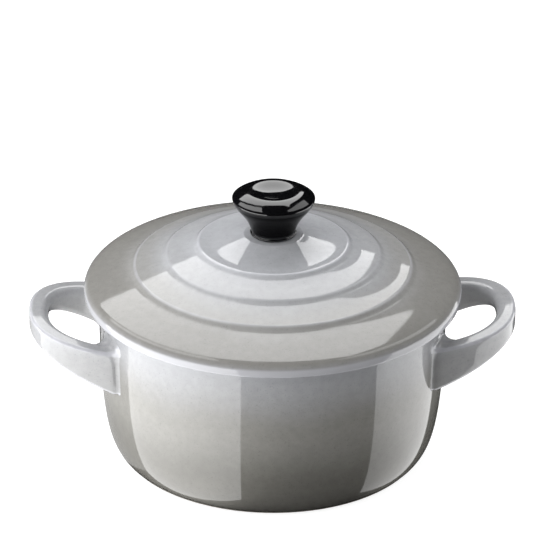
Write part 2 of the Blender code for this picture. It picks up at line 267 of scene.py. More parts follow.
class Paint:
    """Nodes of a material or of the world, which are added one by one in front of its shader."""

    def __init__(self, owner: bpy.types.Material | bpy.types.World, shader: str = "Principled BSDF") -> None:
        """Start on a material or on the world.

        Args:
            owner: The material or the world.
            shader: Name of its shader.
        """
        owner.use_nodes = True
        self.owner = owner
        self.tree = owner.node_tree
        self.shader = self.tree.nodes[shader]

    @cached_property
    def place(self) -> Socket:
        """Object coordinates of the piece."""
        return self.add("TexCoord").outputs["Object"]

    def feed(self, source: Source, target: Socket) -> None:
        """Link a socket to another one, or set a plain value on it.

        Args:
            source: Socket to read from, or a number or colour.
            target: Socket that takes it.
        """
        if isinstance(source, Socket):
            self.tree.links.new(source, target)
        elif isinstance(source, tuple):
            target.default_value = (*source, 1.0)
        else:
            target.default_value = source

    def fill(self, node: bpy.types.Node, values: dict[str, Source]) -> bpy.types.Node:
        """Feed sockets of a node.

        Args:
            node: The node.
            values: What goes into its sockets, by their names with _ for a space.

        Returns:
            The node.
        """
        for name, value in values.items():
            self.feed(value, node.inputs[name.replace("_", " ")])
        return node

    def add(self, kind: str, **values: Source) -> bpy.types.Node:
        """Add a node of a kind, with values for its sockets."""
        return self.fill(self.tree.nodes.new(f"ShaderNode{kind}"), values)

    def dress(self, **values: Source) -> bpy.types.Material | bpy.types.World:
        """Feed the shader, which finishes the material or the world."""
        self.fill(self.shader, values)
        return self.owner

    def noise(self, scale: float, detail: float = 2.0, stretch: Triple = (1.0, 1.0, 1.0)) -> Socket:
        """Noise over the piece.

        Args:
            scale: Bumps per metre.
            detail: How many finer layers lie over the coarse one.
            stretch: Factors on the three axes.

        Returns:
            The noise, from 0 to 1.
        """
        mapping = self.add("Mapping", Vector=self.place)
        mapping.inputs["Scale"].default_value = stretch
        noise = self.add("TexNoise", Vector=mapping.outputs["Vector"], Scale=scale, Detail=detail)
        return noise.outputs["Fac"]

    def spread(self, value: Socket, source: Range, target: Range) -> Socket:
        """Map a value from one range to another, and stop at its ends.

        Args:
            value: Value to map.
            source: Range that it comes from.
            target: Range that it goes to.

        Returns:
            The mapped value.
        """
        bounds = dict(zip(("From Min", "From Max", "To Min", "To Max"), source + target))
        return self.fill(self.add("MapRange", Value=value), bounds).outputs["Result"]

    def vary(self, grain: Grain) -> Socket:
        """A value that varies over the piece as its grain says."""
        return self.spread(self.noise(grain.scale, grain.detail), grain.noise, grain.values)

    def calc(self, operation: str, first: Socket | float, second: Socket | float) -> Socket:
        """Work out a value from two others.

        Args:
            operation: Operation of a Math node.
            first: First value.
            second: Second value.

        Returns:
            The result.
        """
        node = self.add("Math")
        node.operation = operation
        self.feed(first, node.inputs[0])
        self.feed(second, node.inputs[1])
        return node.outputs["Value"]

    def mix(self, share: Socket | float, first: Source, second: Source, blend: str = "MIX") -> Socket:
        """Mix two colours.

        Args:
            share: How much of the second colour is taken.
            first: First colour.
            second: Second colour.
            blend: Blend type of the mix.

        Returns:
            The mixed colour.
        """
        node = self.add("Mix", Factor=share)
        node.data_type = "RGBA"
        node.blend_type = blend
        colours = [socket for socket in node.inputs if socket.type == "RGBA"]
        self.feed(first, colours[0])
        self.feed(second, colours[1])
        return next(socket for socket in node.outputs if socket.type == "RGBA")

    def ramp(self, value: Socket, stops: tuple[Stop, ...]) -> Socket:
        """Colours along a value.

        Args:
            value: Value in metres.
            stops: Pairs of a place on it and a colour.

        Returns:
            The colour there.
        """
        first, last = stops[0][0], stops[-1][0]
        node = self.add("ValToRGB", Fac=self.spread(value, (first, last), SHARE))
        node.color_ramp.interpolation = "EASE"
        marks = node.color_ramp.elements
        while len(marks) < len(stops):
            marks.new(1.0)
        for mark, (place, colour) in zip(marks, stops):
            mark.position = (place - first) / (last - first)
            mark.color = (*colour, 1.0)
        return node.outputs["Color"]

    def marked(self, name: str) -> Socket:
        """Read what is marked on the points.

        Args:
            name: Name of the attribute that holds it.

        Returns:
            The value there.
        """
        node = self.add("Attribute")
        node.attribute_name = name
        return node.outputs["Fac"]

    def axes(self) -> tuple[Socket, Socket]:
        """Where on the dish the surface lies.

        Returns:
            Distance from the axis, and height above the table.
        """
        split = self.add("SeparateXYZ", Vector=self.place).outputs
        squares = [self.calc("MULTIPLY", split[axis], split[axis]) for axis in "XY"]
        return self.calc("SQRT", self.calc("ADD", *squares), 0.0), split["Z"]

    def looking(self) -> Socket:
        """Tell the rays that look from the rays that carry light.

        Returns:
            1 for camera, glossy and transmission rays, and 0 for others.
        """
        path = self.add("LightPath").outputs
        either = self.calc("MAXIMUM", path["Is Camera Ray"], path["Is Glossy Ray"])
        return self.calc("MAXIMUM", either, path["Is Transmission Ray"])

    def bump(self, height: Socket, distance: float, **base: Socket) -> Socket:
        """Surface relief: its pattern, its height in metres, and as Normal the relief that it lies on."""
        return self.add("Bump", Height=height, Distance=distance, **base).outputs["Normal"]


@dataclass(frozen=True)
class GlazeFinish:
    """A gloss glaze that shades from one grey to another and breaks paler where it runs thin over an edge.

    It is thick up to the dull bend of the surface, in 1/m, and thinnest from the sharp bend on.
    Below the skirt level it takes the pale colour everywhere: thin glaze, and also a painted reflection of the
    bright floor on the lid's lower edge. Below the foot level the clay is bare.
    """

    name: str
    run: Run
    stops: tuple[Stop, ...]
    dull_bend: float
    sharp_bend: float = 1000.0
    skirt_level: float = -1.0
    skirt_fade: float = 0.0008
    skirt_share: float = 0.8
    # Pale colour of thin glaze over edges, also used on the skirt as a painted reflection of the bright floor.
    pale_break_and_reflection: Colour = (0.50, 0.505, 0.54)
    biscuit: Colour = (0.60, 0.53, 0.44)
    biscuit_roughness: float = 0.85
    index: float = 1.6
    foot_level: float = 0.0004
    drift: Grain = Grain(45.0, (-0.0015, 0.0015))
    mottle: Grain = Grain(500.0, (0.95, 1.05), detail=3.0)
    specks: Grain = Grain(2300.0, (1.0, 0.86), detail=1.0, noise=(0.62, 0.72))
    ragged: Grain = Grain(420.0, (0.6, 0.95), detail=3.0, noise=(0.3, 0.6))
    roughness: Grain = Grain(160.0, (0.05, 0.07))
    wave_scale: float = 110.0
    wave_height: float = 0.000012
    skin_scale: float = 1500.0
    skin_height: float = 0.000002

    def material(self) -> bpy.types.Material:
        """Mix the glaze.

        Returns:
            Its material.
        """
        paint = Paint(bpy.data.materials.new(self.name))
        radius, height = paint.axes()
        run = height if self.run is Run.UP else radius
        colour = paint.ramp(paint.calc("ADD", run, paint.vary(self.drift)), self.stops)
        grain = paint.calc("MULTIPLY", paint.vary(self.mottle), paint.vary(self.specks))
        colour = paint.mix(1.0, colour, grain, "MULTIPLY")
        over_edges = paint.calc("MULTIPLY", paint.marked(THIN_GLAZE), paint.vary(self.ragged))
        # The skirt is painted pale: thin glaze, and a painted reflection of the bright floor.
        skirt_top = self.skirt_level + self.skirt_fade
        skirt = paint.spread(height, (self.skirt_level, skirt_top), (self.skirt_share, 0.0))
        colour = paint.mix(paint.calc("MAXIMUM", over_edges, skirt), colour, self.pale_break_and_reflection)
        bare = paint.spread(height, (self.foot_level, self.foot_level / 2), SHARE)
        colour = paint.mix(bare, colour, self.biscuit)
        dry = paint.calc("MULTIPLY", bare, self.biscuit_roughness)
        roughness = paint.calc("MAXIMUM", paint.vary(self.roughness), dry)
        waves = paint.bump(paint.noise(self.wave_scale, detail=0.0), self.wave_height)
        relief = paint.bump(paint.noise(self.skin_scale, detail=1.0), self.skin_height, Normal=waves)
        return paint.dress(Base_Color=colour, Roughness=roughness, Normal=relief, IOR=self.index)


@dataclass(frozen=True)
class PhenolicFinish:
    """Black phenolic resin, polished on top and on the lip of the foot, and duller on the neck."""

    name: str = "polished_phenolic"
    colour: Colour = (0.0030, 0.0030, 0.0036)
    cloud: Colour = (0.0045, 0.0045, 0.0052)
    cloud_scale: float = 300.0
    roughness: Grain = Grain(420.0, (0.04, 0.08))
    index: float = 1.6
    top_levels: Range = (0.0762, 0.0777)
    lip_levels: Range = (0.0676, 0.0682)
    neck_gloss: float = 0.03
    polished_gloss: float = 0.66
    wave_scale: float = 260.0
    wave_height: float = 0.000008

    def material(self) -> bpy.types.Material:
        """Mix the resin.

        Returns:
            Its material.
        """
        paint = Paint(bpy.data.materials.new(self.name))
        _, height = paint.axes()
        colour = paint.mix(paint.noise(self.cloud_scale), self.colour, self.cloud)
        top = paint.spread(height, self.top_levels, (self.neck_gloss, self.polished_gloss))
        lip = paint.spread(height, self.lip_levels, (self.polished_gloss, 0.0))
        waves = paint.bump(paint.noise(self.wave_scale, detail=0.0), self.wave_height)
        return paint.dress(Base_Color=colour, Roughness=paint.vary(self.roughness), Normal=waves,
                           IOR=self.index, Specular_IOR_Level=paint.calc("MAXIMUM", top, lip))


@dataclass(frozen=True)
class TurnedMetalFinish:
    """Metal that was turned on a lathe, with fine grooves round its axis."""

    name: str
    colour: Colour
    worn: Colour
    groove_scale: float = 900.0
    groove_stretch: Triple = (0.15, 0.15, 6.0)
    groove_height: float = 0.00001
    wear_noise: Range = (0.35, 0.65)
    gloss_noise: Range = (0.3, 0.7)
    roughness: Range = (0.22, 0.38)

    def material(self) -> bpy.types.Material:
        """Mix the metal.

        Returns:
            Its material.
        """
        paint = Paint(bpy.data.materials.new(self.name))
        grooves = paint.noise(self.groove_scale, stretch=self.groove_stretch)
        colour = paint.mix(paint.spread(grooves, self.wear_noise, SHARE), self.colour, self.worn)
        roughness = paint.spread(grooves, self.gloss_noise, self.roughness)
        relief = paint.bump(grooves, self.groove_height)
        return paint.dress(Base_Color=colour, Roughness=roughness, Metallic=1.0, Normal=relief)


@dataclass(frozen=True)
class SiliconeFinish:
    """Matte black silicone rubber."""

    name: str = "washer_rubber"
    colour: Colour = (0.022, 0.022, 0.022)
    cloud: Colour = (0.03, 0.03, 0.03)
    cloud_scale: float = 800.0
    skin_scale: float = 4000.0
    skin_height: float = 0.00001
    skin_noise: Range = (0.3, 0.7)
    roughness: Range = (0.55, 0.7)

    def material(self) -> bpy.types.Material:
        """Mix the rubber.

        Returns:
            Its material.
        """
        paint = Paint(bpy.data.materials.new(self.name))
        colour = paint.mix(paint.noise(self.cloud_scale), self.colour, self.cloud)
        skin = paint.noise(self.skin_scale)
        roughness = paint.spread(skin, self.skin_noise, self.roughness)
        return paint.dress(Base_Color=colour, Roughness=roughness, Normal=paint.bump(skin, self.skin_height))


@dataclass
class Pot:
    """The stoneware pot: rounded floor, drafted wall, flat rim and foot ring."""

    radius: float
    height: float
    glaze: GlazeFinish
    wall: float = 0.0048
    floor: float = 0.0055
    rim_round: float = 0.0009
    belly_drop: float = 0.0338
    foot_radius: float = 0.0438
    foot_spread: float = 0.0041
    foot_lift: float = 0.0034
    foot_ring: float = 0.0055
    foot_recess: float = 0.0010
    foot_round: float = 0.0004
    floor_corner: float = 0.0125
    inside_steps: int = 36
    outside_steps: int = 40
    round_steps: int = 6
    foot_steps: int = 4
    segments: int = 192

    def build(self) -> Item:
        """Turn the pot, glaze it and put it on its body.

        Returns:
            The pot.
        """
        mouth = self.radius - self.wall
        rim_level = self.height - self.rim_round
        belly = self.height - self.belly_drop
        floor_top = self.foot_recess + self.floor
        ring_inside = self.foot_radius - self.foot_ring
        shape = Outline((0.0, floor_top)).line((self.foot_radius - self.floor_corner, floor_top))
        knee = (self.foot_radius + self.foot_spread - self.wall, floor_top)
        shape.curve(knee, (mouth, belly), (mouth, rim_level), self.inside_steps)
        shape.arc((mouth + self.rim_round, rim_level), self.rim_round, 180, 90, self.round_steps)
        shape.arc((self.radius - self.rim_round, rim_level), self.rim_round, 90, 0, self.round_steps)
        toe = (self.foot_radius + self.foot_spread, self.foot_lift)
        heel = (self.foot_radius + self.foot_round / 2, self.foot_round)
        shape.curve((self.radius, belly), toe, heel, self.outside_steps)
        shape.corner((self.foot_radius, 0.0), (self.foot_radius - self.foot_round, 0.0), self.foot_steps)
        shape.line((ring_inside, 0.0))
        bend = ring_inside - self.foot_recess / 2
        recess_edge = (ring_inside - self.foot_recess, self.foot_recess)
        shape.curve((bend, 0.0), (bend, self.foot_recess), recess_edge, self.round_steps)
        shape.line((0.0, self.foot_recess))
        pot = turn("glazed_pot", shape, self.segments)
        mark_thin_glaze(pot, self.glaze)
        pot.data.materials.append(self.glaze.material())
        hand_over(pot, Body.POT, "pot_glaze", "pot_body")
        return pot


@dataclass
class Handles:
    """The two loop handles: a tapered strap bent round a loop, with legs that run into the wall."""

    pot: Pot
    glaze: GlazeFinish
    half_width: float = 0.0226
    reach: float = 0.0200
    bend_inset: float = 0.0044
    roundness: float = 2.34
    buried: float = 0.0014
    thick_root: float = 0.0061
    thick_tip: float = 0.0055
    tall_root: float = 0.0132
    tall_tip: float = 0.0055
    drop_root: float = 0.0081
    drop_tip: float = 0.0039
    outer_round: float = 0.0010
    outer_steps: int = 5
    inner_round: float = 0.0024
    inner_steps: int = 8
    face_cuts: int = 4
    face_least: float = 0.0006
    fillet_outside: float = 0.0010
    fillet_inside: float = 0.0080
    fillet_top: float = 0.35
    pinch: float = 0.0007
    pinch_run: float = 0.0026
    root_run: float = 0.0100
    root_stations: int = 80
    loop_stations: int = 60
    path_fineness: int = 360

    def path(self) -> list[Vector]:
        """Lay out the loop's outer edge in plan.

        Returns:
            Its points, from one root inside the wall to the other.
        """
        bend = self.pot.radius - self.bend_inset
        depth = self.bend_inset + self.reach
        root = math.sqrt(self.pot.radius**2 - self.half_width**2) - self.buried
        power = 2.0 / self.roundness
        points = [Vector((root, -self.half_width, 0.0))]
        for step in range(self.path_fineness + 1):
            angle = math.pi * (step / self.path_fineness - 0.5)
            across = math.copysign(abs(math.sin(angle)) ** power, angle)
            along = bend + depth * abs(math.cos(angle)) ** power
            points.append(Vector((along, self.half_width * across, 0.0)))
        points.append(Vector((root, self.half_width, 0.0)))
        return points

    def stations(self, length: float) -> list[float]:
        """Places along the strap, close together near the roots.

        Args:
            length: Length of the strap along its outer edge.

        Returns:
            Runs from the first root, from 0 to the length.
        """
        near = [self.root_run * step / self.root_stations for step in range(self.root_stations)]
        middle = length - 2 * self.root_run
        loop = [self.root_run + middle * step / self.loop_stations for step in range(self.loop_stations)]
        return near + loop + [length - run for run in reversed(near + [self.root_run])]

    def section(self, along: float) -> tuple[Vector, Vector]:
        """Middle and size of the strap's section where the outer edge is at a distance from the axis.

        Args:
            along: X of the outer edge in plan.

        Returns:
            Middle and size, with Y inwards from the outer edge and Z up. X is left at 0 and 1.
        """
        share = (along - self.pot.radius + self.bend_inset) / (self.bend_inset + self.reach)
        share = min(max(share, 0.0), 1.0)
        top = self.pot.height - self.drop_root - (self.drop_tip - self.drop_root) * share
        tall = self.tall_root + (self.tall_tip - self.tall_root) * share
        thick = self.thick_root + (self.thick_tip - self.thick_root) * share
        return Vector((0.0, thick / 2, top - tall / 2)), Vector((1.0, thick, tall))

    def strap(self, path: list[Vector]) -> Item:
        """The strap while it is still straight: it runs along X, with its long edges rounded.

        Args:
            path: Outer edge of the loop in plan, which sets the sizes along the strap.

        Returns:
            The straight strap.
        """
        runs = np.concatenate(([0.0], np.cumsum([(b - a).length for a, b in pairwise(path)])))
        plan = [point.x for point in path]
        stations = self.stations(runs[-1])
        bpy.ops.object.select_all(action="DESELECT")
        bpy.ops.mesh.primitive_plane_add(size=1.0, rotation=(0.0, math.pi / 2, 0.0))
        strap = bpy.context.object
        bpy.ops.object.transform_apply(location=False, rotation=True, scale=False)
        bpy.ops.object.mode_set(mode="EDIT")
        bpy.ops.mesh.select_all(action="SELECT")
        middle, size = self.section(plan[0])
        bpy.ops.transform.resize(value=size)
        bpy.ops.transform.translate(value=middle)
        for here, there in pairwise(stations):
            next_middle, next_size = self.section(float(np.interp(there, runs, plan)))
            step = next_middle - middle + Vector((there - here, 0.0, 0.0))
            bpy.ops.mesh.extrude_region_move(TRANSFORM_OT_translate={"value": step})
            growth = (1.0, next_size.y / size.y, next_size.z / size.z)
            bpy.ops.transform.resize(value=growth, center_override=(there, next_middle.y, next_middle.z))
            middle, size = next_middle, next_size
        halfway = self.thick_tip / 2
        self.pick_edges(strap, lambda end, span: abs(span.x) > WELD and end.y < halfway)
        bpy.ops.mesh.bevel(offset=self.outer_round, segments=self.outer_steps, affect="EDGES")
        self.pick_edges(strap, lambda end, span: abs(span.x) > WELD and end.y > halfway)
        bpy.ops.mesh.bevel(offset=self.inner_round, segments=self.inner_steps, affect="EDGES")
        self.pick_edges(strap, lambda end, span: abs(span.x) < WELD and span.length > self.face_least)
        bpy.ops.mesh.subdivide(number_cuts=self.face_cuts)
        bpy.ops.mesh.select_mode(type="VERT")
        close_up()
        return strap

    @staticmethod
    def pick_edges(strap: Item, wanted: Callable[[Vector, Vector], bool]) -> None:
        """Select the edges of the strap in edit mode that pass a test.

        Args:
            strap: The strap.
            wanted: Test of an edge, from one of its ends and the span to the other.
        """
        bpy.ops.mesh.select_mode(type="EDGE")
        bpy.ops.mesh.select_all(action="DESELECT")
        bpy.ops.object.mode_set(mode="OBJECT")
        for edge in strap.data.edges:
            first, last = (strap.data.vertices[end].co for end in edge.vertices)
            edge.select = wanted(first, last - first)
        bpy.ops.object.mode_set(mode="EDIT")

    def bend(self, strap: Item, path: list[Vector]) -> None:
        """Bend the straight strap along the loop.

        Args:
            strap: The straight strap.
            path: Outer edge of the loop in plan.
        """
        guide = bpy.data.curves.new("loop_guide", "CURVE")
        guide.dimensions = "2D"
        line = guide.splines.new("POLY")
        line.points.add(len(path) - 1)
        for point, place in zip(line.points, path):
            point.co = (*place, 1.0)
        guide_object = bpy.data.objects.new("loop_guide", guide)
        bpy.context.collection.objects.link(guide_object)
        bending = strap.modifiers.new("bend", "CURVE")
        bending.object = guide_object
        bending.deform_axis = "POS_X"
        bpy.ops.object.modifier_apply(modifier=bending.name)
        bpy.data.objects.remove(guide_object)

    def run_into_wall(self, strap: Item, pot: Item) -> None:
        """Swell the legs of the bent strap into a fillet at the wall, wide inside the loop and on top.

        The round wall falls away beside a leg, so each point goes back to its own height over the wall.

        Args:
            strap: The bent strap.
            pot: The finished pot.
        """
        wall = BVHTree.FromObject(pot, bpy.context.evaluated_depsgraph_get())
        normals = [vertex.normal.copy() for vertex in strap.data.vertices]
        for vertex, normal in zip(strap.data.vertices, normals):
            place, out, _, _ = wall.find_nearest(vertex.co)
            sideways = normal - out * normal.dot(out)
            if sideways.length < WELD:
                continue
            sideways.normalize()
            inward = -sideways.y if vertex.co.y > 0.0 else sideways.y
            share = max(inward, sideways.z * self.fillet_top, 0.0)
            fillet = self.fillet_outside + (self.fillet_inside - self.fillet_outside) * share
            height = (vertex.co - place).dot(out)
            gap = max(height, 0.0)
            clear = min(gap, fillet)
            swell = fillet - math.sqrt(fillet**2 - (fillet - clear) ** 2)
            pinch = self.pinch * (1.0 - share) * max(1.0 - gap / self.pinch_run, 0.0) ** 2
            moved = vertex.co + sideways * (swell - pinch)
            place, out, _, _ = wall.find_nearest(moved)
            vertex.co = moved + out * (height - (moved - place).dot(out))

    def build(self, pot: Item) -> None:
        """Model one handle, copy it to the other side, glaze both and put them on their body.

        Args:
            pot: The finished pot, which the legs run into.
        """
        path = self.path()
        right = self.strap(path)
        right.name = "right_loop_handle"
        mark_thin_glaze(right, self.glaze)
        self.bend(right, path)
        self.run_into_wall(right, pot)
        right.data.materials.append(self.glaze.material())
        left = right.copy()
        left.data = right.data.copy()
        left.name = "left_loop_handle"
        bpy.context.collection.objects.link(left)
        left.data.transform(Matrix.Rotation(math.pi, 4, "Z"))
        hand_over(right, Body.POT, "pot_glaze", "right_handle")
        hand_over(left, Body.POT, "pot_glaze", "left_handle")


@dataclass(frozen=True)
class Tread:
    """A tread of the lid: steep below the step above it, flattest part of the way out, then rounding over."""

    start_slope: float
    flat_share: float
    flat_slope: float
    end_slope: float
    start_pull: float = 0.25
    flat_pull: float = 0.40
    steps: int = 16

    def draw(self, shape: Outline, end: Point) -> None:
        """Go on down the tread.

        Args:
            shape: Outline that stands at the inner end of the tread.
            end: Outer end of the tread.
        """
        start = shape.points[-1]
        flat_radius = start[0] + (end[0] - start[0]) * self.flat_share
        outer, inner = end[0] - flat_radius, flat_radius - start[0]
        flat = (flat_radius, end[1] + outer * (self.flat_slope + self.end_slope) / 2)
        leave = (inner * self.start_pull, self.start_slope)
        shape.fall(leave, (inner * self.flat_pull, self.flat_slope), flat, self.steps)
        shape.fall((outer / 3, self.flat_slope), (outer / 3, self.end_slope), end, self.steps)


@dataclass
class Lid:
    """The stepped lid: rolled edge, sloped brim, three rounded steps, a dished crown and a flange below."""

    radius: float
    flange_bottom: float
    crown_top: float
    glaze: GlazeFinish
    crown: Tread = Tread(0.36, 0.85, 0.01, 0.01, 0.30, 0.30)
    inner_tier: Tread = Tread(0.38, 0.50, 0.235, 0.32)
    outer_tier: Tread = Tread(0.40, 0.70, 0.258, 0.27)
    brim: Tread = Tread(0.44, 0.50, 0.282, 0.365)
    step_insets: Triple = (0.0309, 0.0218, 0.0127)
    step_levels: Triple = (0.0145, 0.0111, 0.0074)
    step_rises: Triple = (0.0013, 0.00136, 0.00152)
    step_width: float = 0.0022
    step_pull: float = 0.0010
    seat_radius: float = 0.0085
    seat_round: float = 0.0006
    shoulder_width: float = 0.0028
    shoulder_level: float = 0.0042
    edge_level: float = 0.0014
    hole_radius: float = 0.0025
    boss_radius: float = 0.0085
    boss_thickness: float = 0.0065
    boss_spread: float = 3.0
    hollow_pull: float = 0.0008
    flange_radius: float = 0.0442
    flange_width: float = 0.0035
    flange_depth: float = 0.0040
    flange_round: float = 0.0008
    riser_steps: int = 18
    seat_steps: int = 8
    edge_steps: int = 24
    under_edge_steps: int = 10
    flange_steps: int = 6
    hollow_steps: int = 36
    segments: int = 192

    def draw_top(self, seat: float) -> Outline:
        """The upper side, from the hole outwards to the shoulder of the edge.

        Args:
            seat: Height of the face that lies on the rim of the pot.

        Returns:
            The outline so far.
        """
        top = self.crown_top
        shape = Outline((self.hole_radius, top)).line((self.seat_radius - self.seat_round, top))
        after_seat = (self.seat_radius + self.seat_round, top - self.seat_round * self.crown.start_slope)
        shape.corner((self.seat_radius, top), after_seat, self.seat_steps)
        treads = (self.crown, self.inner_tier, self.outer_tier, self.brim)
        steps = zip(self.step_insets, self.step_levels, self.step_rises)
        pull = self.step_pull
        for (above, below), (inset, level, rise) in zip(pairwise(treads), steps):
            foot = (self.radius - inset, seat + level)
            above.draw(shape, (foot[0] - self.step_width, foot[1] + rise))
            shape.fall((pull, above.end_slope), (pull, below.start_slope), foot, self.riser_steps)
        self.brim.draw(shape, (self.radius - self.shoulder_width, seat + self.shoulder_level))
        return shape

    def draw(self) -> Outline:
        """Draw the whole section of the lid.

        Returns:
            Its outline, from the hole round to the hole.
        """
        seat = self.flange_bottom + self.flange_depth
        shape = self.draw_top(seat)
        shoulder = shape.points[-1]
        edge = (self.radius, seat + self.edge_level)
        half = self.shoulder_width / 2
        shape.curve((shoulder[0] + half, shoulder[1] - half * self.brim.end_slope),
                    (self.radius, edge[1] + half), edge, self.edge_steps)
        shape.corner((self.radius, seat), (self.radius - self.edge_level, seat), self.under_edge_steps)
        rounding, bottom = self.flange_round, self.flange_bottom
        outside, inside = self.flange_radius, self.flange_radius - self.flange_width
        for start, tip, end in (
            ((outside + rounding, seat), (outside, seat), (outside, seat - rounding)),
            ((outside, bottom + rounding), (outside, bottom), (outside - rounding, bottom)),
            ((inside + rounding, bottom), (inside, bottom), (inside, bottom + rounding)),
        ):
            shape.line(start).corner(tip, end, self.flange_steps)
        boss = self.crown_top - self.boss_thickness
        hollow_edge = (inside - self.hollow_pull / 2, bottom + 2 * self.flange_depth)
        shape.curve(hollow_edge, (self.boss_spread * self.boss_radius, boss - self.hollow_pull),
                    (self.boss_radius, boss), self.hollow_steps)
        shape.line((self.hole_radius, boss), (self.hole_radius, self.crown_top))
        return shape

    def build(self) -> None:
        """Turn the lid, glaze it and put it on its body."""
        lid = turn("glazed_lid", self.draw(), self.segments)
        mark_thin_glaze(lid, self.glaze)
        lid.data.materials.append(self.glaze.material())
        hand_over(lid, Body.LID, "lid_glaze", "lid")


@dataclass
class Knob:
    """The black knob: dished top, rounded rim, flared underside, slim neck, lipped foot and a bore below."""

    seat: float
    finish: PhenolicFinish
    radius: float = 0.0118
    shoulder: float = 0.0109
    shoulder_pull: float = 0.00028
    crest_radius: float = 0.0069
    crest_rise: float = 0.0023
    dish: float = 0.0010
    dish_floor: float = 0.58
    dish_brink: float = 0.66
    break_radius: float = 0.0092
    break_drop: float = 0.00057
    break_slope: float = 0.50
    break_pull: float = 0.0014
    flare_pull: float = 0.0026
    neck: float = 0.0063
    neck_pull: float = 0.0054
    neck_slope: float = 0.20
    lip: float = 0.0003
    lip_height: float = 0.0007
    bore: float = 0.0037
    bore_depth: float = 0.0092
    dish_steps: int = 24
    crest_steps: int = 16
    shoulder_steps: int = 20
    flare_steps: int = 36
    lip_steps: int = 8
    foot_steps: int = 4
    segments: int = 128

    def draw(self) -> Outline:
        """Draw the section of the knob.

        Returns:
            Its outline, from the middle of the dish to the end of the bore.
        """
        crest = self.shoulder + self.crest_rise
        shape = Outline((0.0, crest - self.dish))
        shape.curve((self.crest_radius * self.dish_floor, crest - self.dish),
                    (self.crest_radius * self.dish_brink, crest), (self.crest_radius, crest), self.dish_steps)
        edge = (self.break_radius, crest - self.break_drop)
        third = (self.break_radius - self.crest_radius) / 3
        shape.fall((third, 0.0), (third, self.break_slope), edge, self.crest_steps)
        rim = (self.radius, self.shoulder)
        shape.curve((edge[0] + self.break_pull, edge[1] - self.break_pull * self.break_slope),
                    (self.radius, self.shoulder + self.shoulder_pull), rim, self.shoulder_steps)
        neck_end = (self.neck, self.lip_height)
        shape.curve((self.radius, self.shoulder - self.flare_pull),
                    (self.neck + self.neck_pull * self.neck_slope, self.lip_height + self.neck_pull),
                    neck_end, self.flare_steps)
        foot = self.neck + self.lip
        half = self.lip_height / 2
        shape.curve((self.neck, half), (foot, self.lip_height), (foot, half), self.lip_steps)
        shape.corner((foot, 0.0), (foot - self.lip / 2, 0.0), self.foot_steps)
        shape.line((self.bore, 0.0), (self.bore, self.bore_depth), (0.0, self.bore_depth))
        shape.points = [(radius, self.seat + level) for radius, level in shape.points]
        return shape

    def build(self) -> None:
        """Turn the knob, polish it and put it on its body."""
        knob = turn("black_knob", self.draw(), self.segments)
        knob.data.materials.append(self.finish.material())
        hand_over(knob, Body.LID, "knob_black", "knob")


def dress_fixing() -> None:
    """Give the insert, screw and washer of the frame their finishes."""
    finishes = {
        "knob_insert": TurnedMetalFinish("turned_brass", (0.70, 0.50, 0.20), (0.78, 0.60, 0.30)),
        "knob_screw": TurnedMetalFinish("turned_steel", (0.52, 0.52, 0.51), (0.66, 0.66, 0.65)),
        "knob_washer": SiliconeFinish(),
    }
    for node, finish in finishes.items():
        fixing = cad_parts[node]
        fixing.data.materials.clear()
        fixing.data.materials.append(finish.material())
        LOG.info("%s: %s", node, finish.name)


@dataclass(frozen=True)
class Window:
    """A window beside the dish with the lit table before it, as the reflections show them."""

    name: str
    table: tuple[Point, Point, Point, Point]
    mirrored: tuple[float, float, float, float]
    lighting: float
    pane_height: float


@dataclass(frozen=True)
class Softbox:
    """A softbox or strip behind and above the dish: points (across, up) on a board that faces the dish."""

    name: str
    outline: tuple[Point, ...]
    mirrored: float
    lighting: float


